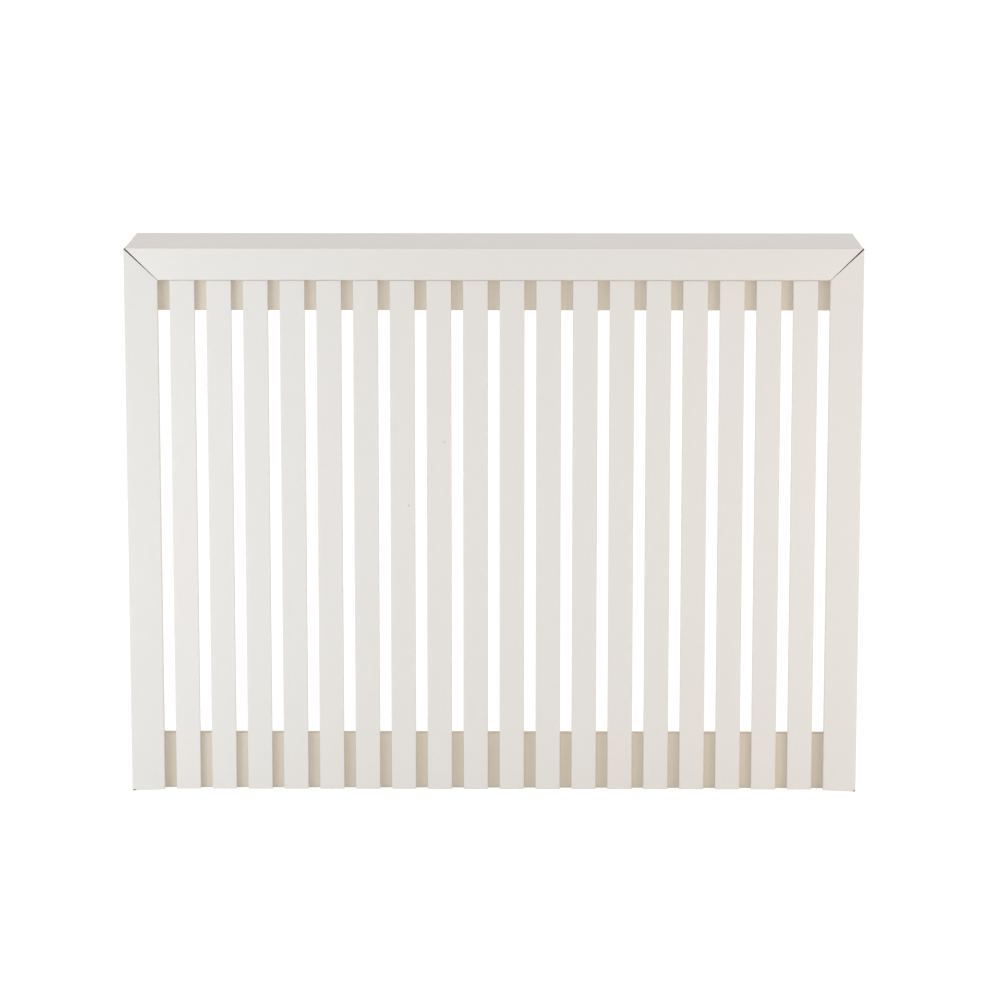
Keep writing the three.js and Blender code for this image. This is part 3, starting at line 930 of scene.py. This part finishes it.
class CoverFrontFrame(bpy.types.Operator):
    """Model the fascia and stiles: one moulding with a sloping face, mitred and grooved at the corners"""

    bl_idname = "radiator_cover.front_frame"
    bl_label = "Front frame"
    bl_options = {"REGISTER", "UNDO"}

    def execute(self, context):
        sizes = context.scene.cover_sizes
        self.fascia(sizes)
        for side, hand in SIDES:
            self.stile(sizes, side, hand)
        return {"FINISHED"}

    def fall_back(self, piece, sizes, test):
        """Moves the moulding's inner front edge back, so that its face slopes."""
        edit(piece)
        select(piece, "VERT", test)
        bpy.ops.transform.translate(value=(0, sizes.frame_slope, 0))
        leave()

    def mitre(self, piece, outer, inner, waste):
        """Saws an end along the line between two points of the front, with the waste on one side."""
        along = (inner - outer).normalized()
        normal = Vector((along.z, 0, -along.x))
        if normal.dot(waste) < 0:
            normal.negate()
        edit(piece)
        bpy.ops.mesh.bisect(plane_co=outer, plane_no=normal, use_fill=True, clear_outer=True)
        leave()

    def bare_mitres(self, piece):
        """Leaves the sawn ends unpainted."""
        piece.data.materials.append(raw_fibreboard())
        for face in piece.data.polygons:
            if min(abs(face.normal.x), abs(face.normal.z)) > MITRE_TILT:
                face.material_index = 1

    def fascia(self, sizes):
        """The frame's top member, mitred at both ends."""
        low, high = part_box("fascia")
        end = CAD_BOX[1].x
        set_back = high.z - low.z + sizes.mitre_gap / math.sqrt(2)
        piece = block("frame_fascia", low, high, satin_paint())
        self.fall_back(piece, sizes, lambda place: near(place.y, low.y) and near(place.z, low.z))
        for _, hand in SIDES:
            outer = Vector((hand * high.x, 0, high.z))
            inner = Vector((hand * (end - set_back), 0, low.z))
            self.mitre(piece, outer, inner, Vector((hand, 0, -1)))
        front = low.y + FRONT_REACH * sizes.frame_slope
        ease(piece, sizes.board_arris, lambda place: near(place.x, 0) and place.y < front)
        self.bare_mitres(piece)
        cut(piece, room_for(
            [f"fascia_dowel_{number}" for number in range(1, 5)]
            + [f"mitre_tongue_{side}" for side, _ in SIDES],
            sizes.fit, raw_fibreboard()))
        done(piece, "satin_paint", "fascia")

    def stile(self, sizes, side, hand):
        """One upright, mitred at the top and chipped at the foot."""
        low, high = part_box(f"stile_{side}")
        outer_x, inner_x = (low.x, high.x) if hand < 0 else (high.x, low.x)
        width = high.x - low.x
        top = CAD_BOX[1].z
        piece = block(f"frame_stile_{side}", low, high, satin_paint())
        self.fall_back(piece, sizes, lambda place: near(place.y, low.y) and near(place.x, inner_x))
        outer = Vector((outer_x, 0, high.z))
        inner = Vector((inner_x, 0, top - width - sizes.mitre_gap / math.sqrt(2)))
        self.mitre(piece, outer, inner, Vector((-hand, 0, 1)))
        front = low.y + FRONT_REACH * sizes.frame_slope
        ease(piece, sizes.board_arris, lambda place: place.y < front and (
            near(place.x, outer_x) or near(place.x, inner_x)))
        self.bare_mitres(piece)
        cut(piece, room_for(
            [f"stile_dowel_{side}_{number}" for number in range(1, 4)] + [f"mitre_tongue_{side}"],
            sizes.fit, raw_fibreboard()))
        inset = sizes.chip_inset_left if hand < 0 else sizes.chip_inset_right
        self.chip(piece, sizes, Vector((outer_x - hand * inset, low.y + CHIP_SETBACK, low.z)))
        done(piece, "satin_paint", f"stile_{side}")

    def chip(self, piece, sizes, at):
        """Knocks a shallow flake of paint and board off the foot's front edge."""
        bpy.ops.object.select_all(action="DESELECT")
        bpy.ops.mesh.primitive_ico_sphere_add(
            subdivisions=CHIP_DETAIL, radius=1, location=at,
            scale=(sizes.chip_length / 2, sizes.chip_height / 2, sizes.chip_height))
        bpy.ops.object.transform_apply()
        flake = bpy.context.active_object
        coat(flake, raw_fibreboard())
        edit(flake)
        bpy.ops.transform.vertex_random(offset=sizes.chip_height / CHIP_SCATTER, seed=CHIP_SEED)
        leave()
        cut(piece, flake)


class CoverSlats(bpy.types.Operator):
    """Model one slat with its eased edges and pin holes, and copy it along the front"""

    bl_idname = "radiator_cover.slats"
    bl_label = "Slats"
    bl_options = {"REGISTER", "UNDO"}

    def execute(self, context):
        sizes = context.scene.cover_sizes
        first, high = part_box("slat_01")
        pattern = block("slat_pattern", first, high, slat_paint())
        ease(pattern, sizes.board_arris)
        cut(pattern, pin_holes(sizes, [pin_place("01", height) for height in pin_heights()]))
        for slat in SLATS:
            low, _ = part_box(f"slat_{slat}")
            piece = copy_of(pattern, f"painted_slat_{slat}", low - first)
            done(piece, "satin_paint", f"slat_{slat}")
        bpy.data.objects.remove(pattern)
        return {"FINISHED"}


class CoverRails(bpy.types.Operator):
    """Model the two rails behind the slats, with a hole for each pin"""

    bl_idname = "radiator_cover.rails"
    bl_label = "Rails"
    bl_options = {"REGISTER", "UNDO"}

    def execute(self, context):
        sizes = context.scene.cover_sizes
        for rail, height in zip(("lower", "upper"), pin_heights()):
            low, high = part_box(f"{rail}_rail")
            # The rails' finish is darker and warmer partly as painted shade of the recess behind the slats.
            piece = block(f"painted_{rail}_rail", low, high, rail_paint())
            ease(piece, sizes.board_arris)
            cut(piece, pin_holes(sizes, [pin_place(slat, height) for slat in SLATS]))
            done(piece, "rail_paint", f"{rail}_rail")
        return {"FINISHED"}


class CoverPins(bpy.types.Operator):
    """Model one pin and copy it to both rails behind each slat"""

    bl_idname = "radiator_cover.pins"
    bl_label = "Slat pins"
    bl_options = {"REGISTER", "UNDO"}

    def execute(self, context):
        sizes = context.scene.cover_sizes
        first = pin_place("01", pin_heights()[0])
        pattern = pin("pin_pattern", sizes, first)
        for slat in SLATS:
            for rail, height in zip(("lower", "upper"), pin_heights()):
                piece = copy_of(pattern, f"slat_pin_{slat}_{rail}", pin_place(slat, height) - first)
                done(piece, "screw_steel")
        bpy.data.objects.remove(pattern)
        return {"FINISHED"}


class CoverTimber(bpy.types.Operator):
    """Model the battens and corner blocks, countersunk for their screws"""

    bl_idname = "radiator_cover.timber"
    bl_label = "Battens and blocks"
    bl_options = {"REGISTER", "UNDO"}

    def execute(self, context):
        sizes = context.scene.cover_sizes
        for side, hand in SIDES:
            outward = Vector((hand, 0, 0))
            self.piece(sizes, f"top_batten_{side}", pine_deep(), [
                (f"top_batten_screw_up_{side}", UP),
                (f"top_batten_screw_side_{side}", outward),
            ])
            for name in ("upper_rail_block", "lower_rail_block"):
                self.piece(sizes, f"{name}_{side}", pine_upright(), [(f"{name}_screw_{side}", outward)])
        return {"FINISHED"}

    def piece(self, sizes, node, timber, screws):
        """One batten or block, with a hole for each of its screws."""
        low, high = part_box(node)
        piece = block(f"pine_{node}", low, high, timber)
        ease(piece, sizes.timber_arris)
        for screw, direction in screws:
            hole = turned("hole", screw_profile(sizes.fit), timber)
            cut(piece, aim(hole, screw_place(screw, direction), direction))
        done(piece, "pine", node)


class CoverScrews(bpy.types.Operator):
    """Model a countersunk and a pan-head screw with their driver crosses, and copy them to their places"""

    bl_idname = "radiator_cover.screws"
    bl_label = "Screws"
    bl_options = {"REGISTER", "UNDO"}

    def execute(self, context):
        sizes = context.scene.cover_sizes
        wood_screw = cross_recess(turned("wood_screw", screw_profile(), screw_steel()), sizes, 0)
        pan_screw = cross_recess(self.pan_screw(), sizes, -PAN_HEIGHT)
        for side, hand in SIDES:
            outward = Vector((hand, 0, 0))
            self.copies(wood_screw, [f"top_batten_screw_up_{side}"], UP)
            self.copies(wood_screw, [
                f"top_batten_screw_side_{side}", f"upper_rail_block_screw_{side}",
                f"lower_rail_block_screw_{side}"], outward)
            self.copies(pan_screw, [
                f"wall_bracket_screw_{side}_{number}" for number in (1, 2)], UP, PAN_HEIGHT)
        bpy.data.objects.remove(wood_screw)
        bpy.data.objects.remove(pan_screw)
        return {"FINISHED"}

    def pan_screw(self):
        """A pan-head screw, the underside of its head at the origin."""
        return turned("pan_screw", [
            (0.0018, -PAN_HEIGHT), (0.0029, -0.0018), (0.0036, -0.0013), (HEAD_RADIUS, -0.0006),
            (HEAD_RADIUS, 0), (SHANK_RADIUS, 0), (SHANK_RADIUS, 0.0072), (CORE_RADIUS, 0.0076),
            (TIP_RADIUS, 0.0116),
        ], screw_steel())

    def copies(self, pattern, nodes, direction, head=0.0):
        """Copies of a screw whose origin lies a head's height past its face."""
        for node in nodes:
            at = screw_place(node, direction) + direction * head
            piece = aim(copy_of(pattern, f"fitted_{node}"), at, direction)
            done(piece, "screw_steel", node)


class CoverAngles(bpy.types.Operator):
    """Model the two steel wall angles, bent from strip and drilled"""

    bl_idname = "radiator_cover.angles"
    bl_label = "Wall angles"
    bl_options = {"REGISTER", "UNDO"}

    def execute(self, context):
        sizes = context.scene.cover_sizes
        for side, _ in SIDES:
            self.angle(sizes, side)
        return {"FINISHED"}

    def angle(self, sizes, side):
        """One angle: a leg under the top board and a leg down the wall."""
        node = f"wall_bracket_{side}"
        low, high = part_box(node)
        heel = Vector((low.x, high.y - STRIP, high.z - STRIP))
        piece = block(f"steel_angle_{side}", heel, high, zinc_steel())
        edit(piece)
        select(piece, "FACE", lambda place: near(place.y, heel.y))
        bpy.ops.mesh.extrude_region_move(TRANSFORM_OT_translate={"value": (0, low.y - heel.y, 0)})
        select(piece, "FACE", lambda place: near(place.z, heel.z) and place.y > heel.y)
        bpy.ops.mesh.extrude_region_move(TRANSFORM_OT_translate={"value": (0, 0, low.z - heel.z)})
        self.round_edges(piece, sizes.angle_corner, lambda place: (
            (near(place.y, low.y) or near(place.z, low.z))
            and (near(place.x, low.x) or near(place.x, high.x))
            and not (near(place.y, high.y) and near(place.z, high.z))))
        self.round_edges(piece, sizes.angle_bend + STRIP, lambda place: (
            near(place.y, high.y) and near(place.z, high.z)))
        self.round_edges(piece, sizes.angle_bend, lambda place: (
            near(place.y, heel.y) and near(place.z, heel.z)))
        leave()
        for hole in self.holes(side, low, high):
            cut(piece, hole)
        done(piece, "zinc_steel", node)

    def round_edges(self, piece, radius, test):
        """In edit mode, rounds the edges whose middle passes a test."""
        select(piece, "EDGE", test)
        bpy.ops.mesh.bevel(offset=radius, segments=2 * ARRIS_STEPS, profile=0.5, affect="EDGES")

    def drill(self, radius, at, direction):
        """A round hole through the strip."""
        profile = [(radius, -DRILL_REACH), (radius, DRILL_REACH)]
        return aim(turned("hole", profile, zinc_steel()), at, direction)

    def holes(self, side, low, high):
        """Holes for the screws into the top board, and for the wall's screws as far from the bend."""
        for number in (1, 2):
            screw_low, screw_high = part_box(f"wall_bracket_screw_{side}_{number}")
            centre = (screw_low + screw_high) / 2
            yield self.drill(SCREW_HOLE, Vector((centre.x, centre.y, high.z)), UP)
            wall_height = low.z + (centre.y - low.y)
            yield self.drill(WALL_HOLE, Vector((centre.x, high.y, wall_height)), BACKWARD)


class CoverJoinery(bpy.types.Operator):
    """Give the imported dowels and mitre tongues, whose shapes are right, their woods"""

    bl_idname = "radiator_cover.joinery"
    bl_label = "Dowels and tongues"
    bl_options = {"REGISTER", "UNDO"}

    def execute(self, context):
        for name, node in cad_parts.items():
            if "dowel" in name:
                self.dress(node, beech(), "beech")
            elif "tongue" in name:
                self.dress(node, birch_ply(), "birch_ply")
        return {"FINISHED"}

    def dress(self, node, finish, slot):
        """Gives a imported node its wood."""
        coat(node, finish)


class CoverPanel(bpy.types.Panel):
    """Lists the cabinet's operators and its sizes, colours and stage"""

    bl_idname = "VIEW3D_PT_radiator_cover"
    bl_label = "Radiator Cover"
    bl_space_type = "VIEW_3D"
    bl_region_type = "UI"
    bl_category = "Radiator Cover"

    def draw(self, context):
        for operator in BUILD_ORDER:
            self.layout.operator(operator.bl_idname)
        scene = context.scene
        for settings in (scene.cover_sizes, scene.cover_colours, scene.cover_stage):
            box = self.layout.box()
            for name in settings.__annotations__:
                box.prop(settings, name)


BUILD_ORDER = (
    CoverStageBuild, CoverBoards, CoverFrontFrame, CoverSlats, CoverRails, CoverPins, CoverTimber,
    CoverScrews, CoverAngles, CoverJoinery,
)
SETTINGS = {"cover_sizes": CoverSizes, "cover_colours": CoverColours, "cover_stage": CoverStage}


def register():
    for settings in SETTINGS.values():
        bpy.utils.register_class(settings)
    for operator in BUILD_ORDER:
        bpy.utils.register_class(operator)
    bpy.utils.register_class(CoverPanel)
    for name, settings in SETTINGS.items():
        setattr(bpy.types.Scene, name, PointerProperty(type=settings))


def unregister():
    for name in SETTINGS:
        delattr(bpy.types.Scene, name)
    bpy.utils.unregister_class(CoverPanel)
    for operator in reversed(BUILD_ORDER):
        bpy.utils.unregister_class(operator)
    for settings in reversed(SETTINGS.values()):
        bpy.utils.unregister_class(settings)


def main():
    register()
    bpy.ops.radiator_cover.stage()
    bpy.ops.radiator_cover.boards()
    bpy.ops.radiator_cover.front_frame()
    bpy.ops.radiator_cover.slats()
    bpy.ops.radiator_cover.rails()
    bpy.ops.radiator_cover.pins()
    bpy.ops.radiator_cover.timber()
    bpy.ops.radiator_cover.screws()
    bpy.ops.radiator_cover.angles()
    bpy.ops.radiator_cover.joinery()


if __name__ == "__main__":
    main()
